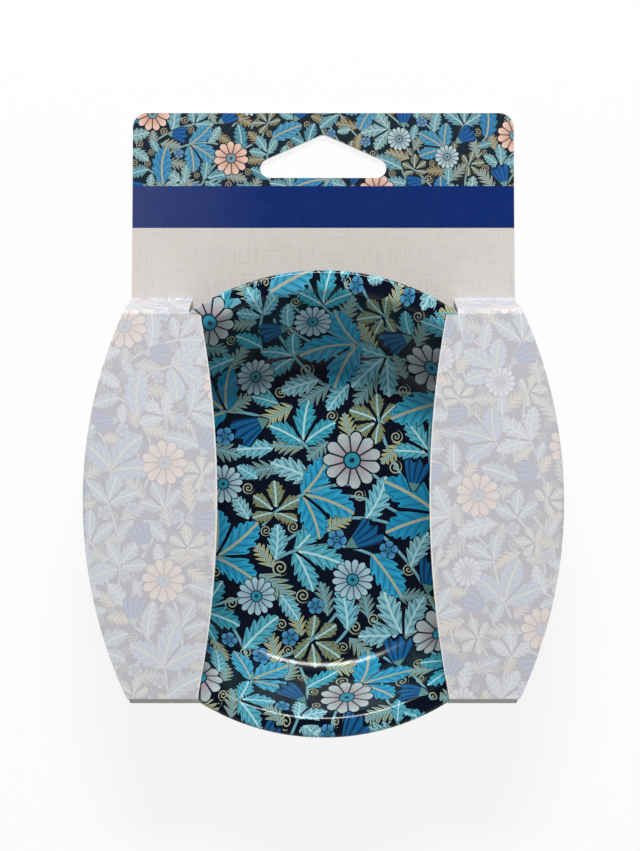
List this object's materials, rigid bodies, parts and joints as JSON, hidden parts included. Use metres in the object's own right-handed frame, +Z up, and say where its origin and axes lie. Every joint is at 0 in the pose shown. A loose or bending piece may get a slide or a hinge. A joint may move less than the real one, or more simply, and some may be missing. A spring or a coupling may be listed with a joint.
{
  "type": "magnetic pin bowl",
  "caption": "Round printed-tin bowl with magnets under its floor that hold sewing pins, carried in a card hanging sleeve that slides off along the header's direction.",
  "frame": {"origin": "the bowl's centre line, on the surface that the pack lies on, which is the underside of the card's back panel", "axes": "+Z up, out of the bowl's mouth; +Y from the sleeve's open mouth to the hanging header; +X to the right seen from above with the header at the top"},
  "size_m": [0.1124, 0.1529, 0.028],
  "materials": {
    "printed_tin": "offset-printed tinplate under gloss varnish",
    "adhesive": "double-sided adhesive film",
    "ferrite": "sintered ferrite, unpainted",
    "cage_plastic": "die-cut polystyrene",
    "plate_steel": "zinc-plated mild steel",
    "black_plastic": "moulded ABS, fine spark texture",
    "foam_rubber": "closed-cell EVA foam",
    "plain_card": "uncoated back of white-lined card",
    "header_card": "printed card, matt lacquer",
    "wing_card": "pale printed card, matt lacquer"
  },
  "bodies": {
    "bowl": {"bowl": "printed_tin", "adhesive_disc": "adhesive", "magnets": "ferrite", "magnet_cage": "cage_plastic", "backing_plate": "plate_steel", "base_cup": "black_plastic", "non_slip_pad": "foam_rubber"},
    "card_sleeve": {"back_panel": "plain_card", "header_front": "header_card", "left_riser": "wing_card", "right_riser": "wing_card", "left_side_wall": "wing_card", "right_side_wall": "wing_card", "left_glue_flange": "plain_card", "right_glue_flange": "plain_card", "left_wing": "wing_card", "right_wing": "wing_card"}
  },
  "joints": [
    {"name": "sleeve_slides_off", "type": "slide", "parent": "bowl", "child": "card_sleeve", "axis": [0, 1, 0], "range_m": [0, 0.12]}
  ]
}
